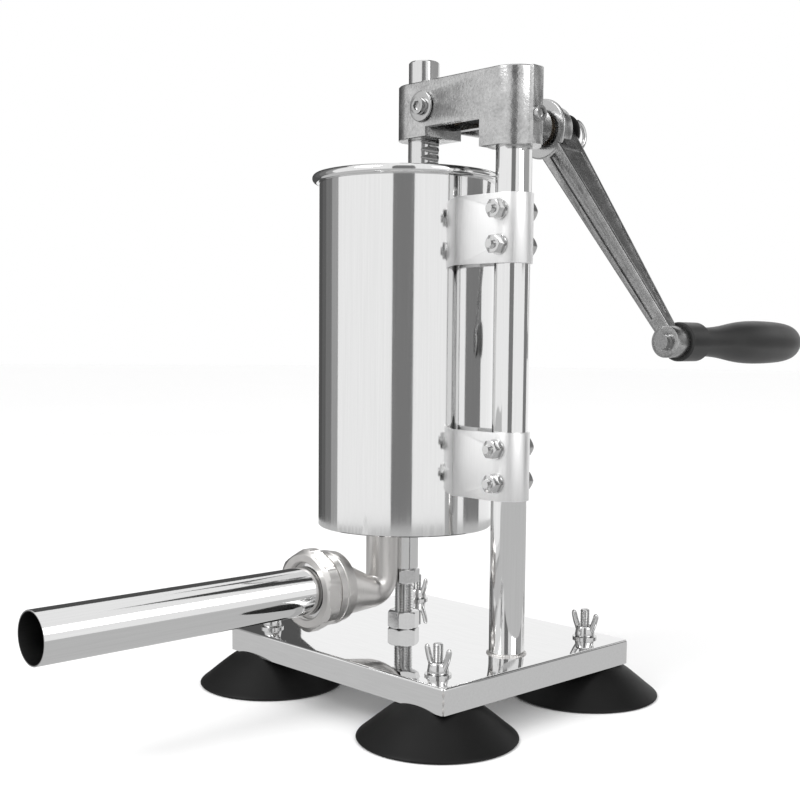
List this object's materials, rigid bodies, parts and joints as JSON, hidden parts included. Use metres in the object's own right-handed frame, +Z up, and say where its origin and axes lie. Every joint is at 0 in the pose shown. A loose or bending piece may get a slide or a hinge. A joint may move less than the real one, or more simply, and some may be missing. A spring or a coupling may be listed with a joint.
{
  "type": "sausage stuffer",
  "caption": "Upright hand-cranked sausage stuffer: steel tank on a column, rack plunger, side stuffing tube, base plate on suction cups.",
  "frame": {"origin": "middle of the base plate, on the surface the suction cups stand on", "axes": "+X from the tank to the column, -Y along the stuffing tube, +Z up"},
  "size_m": [0.24, 0.5207, 0.389],
  "materials": {
    "polished_steel": "polished stainless steel",
    "satin_steel": "brushed stainless steel",
    "cast_aluminium": "polished cast aluminium with a mottled skin",
    "machined_steel": "machined stainless steel",
    "zinc_fastener": "bright stainless fasteners",
    "black_rubber": "matt black rubber",
    "white_seal": "food-grade silicone",
    "bronze": "plain bronze",
    "piston_metal": "turned aluminium",
    "black_plastic": "matt black plastic"
  },
  "bodies": {
    "stand": {"base_plate": "polished_steel", "bracket_bolts": "zinc_fastener", "bracket_lower": "satin_steel", "bracket_nuts": "zinc_fastener", "bracket_upper": "satin_steel", "bracket_washers": "zinc_fastener", "column_plug": "black_plastic", "column_tube": "polished_steel", "column_weld": "satin_steel", "cup_studs": "zinc_fastener", "head_casting": "cast_aluminium", "lock_screw": "machined_steel", "outlet_elbow": "satin_steel", "outlet_leg": "satin_steel", "shaft_bush_back": "bronze", "shaft_bush_front": "bronze", "shaft_sleeve": "cast_aluminium", "sleeve_bush": "bronze", "stud_washers": "zinc_fastener", "suction_cup_left_back": "black_rubber", "suction_cup_left_front": "black_rubber", "suction_cup_right_back": "black_rubber", "suction_cup_right_front": "black_rubber", "support_bolt": "zinc_fastener", "support_nuts": "zinc_fastener", "tank_boss": "polished_steel", "tank_floor": "polished_steel", "tank_shell": "polished_steel"},
    "plunger": {"rack_rod": "polished_steel", "piston_disc": "piston_metal", "piston_seal": "white_seal", "piston_screw": "machined_steel"},
    "crank": {"crank_shaft": "machined_steel", "end_washer": "machined_steel", "end_screw": "machined_steel", "crank_disc": "machined_steel", "crank_arm": "cast_aluminium", "crank_washer": "black_rubber", "grip_axle": "machined_steel", "grip_nut": "machined_steel"},
    "thumb_screw": {"thumb_screw": "zinc_fastener"},
    "grip": {"grip": "black_plastic"},
    "stuffing_tube": {"stuffing_tube": "polished_steel", "tube_gasket": "white_seal"},
    "union_nut": {"union_nut": "satin_steel"},
    "wing_nut_left_back": {"wing_nut_left_back": "zinc_fastener"},
    "wing_nut_left_front": {"wing_nut_left_front": "zinc_fastener"},
    "wing_nut_right_back": {"wing_nut_right_back": "zinc_fastener"},
    "wing_nut_right_front": {"wing_nut_right_front": "zinc_fastener"}
  },
  "joints": [
    {"name": "crank_turn", "type": "hinge", "parent": "stand", "child": "crank", "pos_m": [0.0073, 0.05, 0.359], "axis": [0, 1, 0], "range_deg": [0, 1782]},
    {"name": "plunger_slide", "type": "slide", "parent": "stand", "child": "plunger", "axis": [0, 0, 1], "range_m": [0, 0.21]},
    {"name": "grip_spin", "type": "hinge", "parent": "crank", "child": "grip", "pos_m": [0.09947, 0.19, 0.21974], "axis": [0, 1, 0], "continuous": true},
    {"name": "thumb_screw_turn", "type": "hinge", "parent": "crank", "child": "thumb_screw", "pos_m": [0.0073, 0.13, 0.359], "axis": [0, 1, 0], "continuous": true},
    {"name": "tube_pull", "type": "slide", "parent": "stand", "child": "stuffing_tube", "axis": [0, -1, 0], "range_m": [0, 0.06]},
    {"name": "union_nut_turn", "type": "hinge", "parent": "stuffing_tube", "child": "union_nut", "pos_m": [-0.021, -0.078, 0.0695], "axis": [0, 1, 0], "continuous": true},
    {"name": "wing_nut_left_front_turn", "type": "hinge", "parent": "stand", "child": "wing_nut_left_front", "pos_m": [-0.075, -0.065, 0.042], "axis": [0, 0, 1], "continuous": true},
    {"name": "wing_nut_left_back_turn", "type": "hinge", "parent": "stand", "child": "wing_nut_left_back", "pos_m": [-0.075, 0.065, 0.042], "axis": [0, 0, 1], "continuous": true},
    {"name": "wing_nut_right_front_turn", "type": "hinge", "parent": "stand", "child": "wing_nut_right_front", "pos_m": [0.075, -0.065, 0.042], "axis": [0, 0, 1], "continuous": true},
    {"name": "wing_nut_right_back_turn", "type": "hinge", "parent": "stand", "child": "wing_nut_right_back", "pos_m": [0.075, 0.065, 0.042], "axis": [0, 0, 1], "continuous": true}
  ],
  "couplings": [
    {"joint": "plunger_slide", "follows": "crank_turn", "m_per_rad": 0.00675}
  ]
}
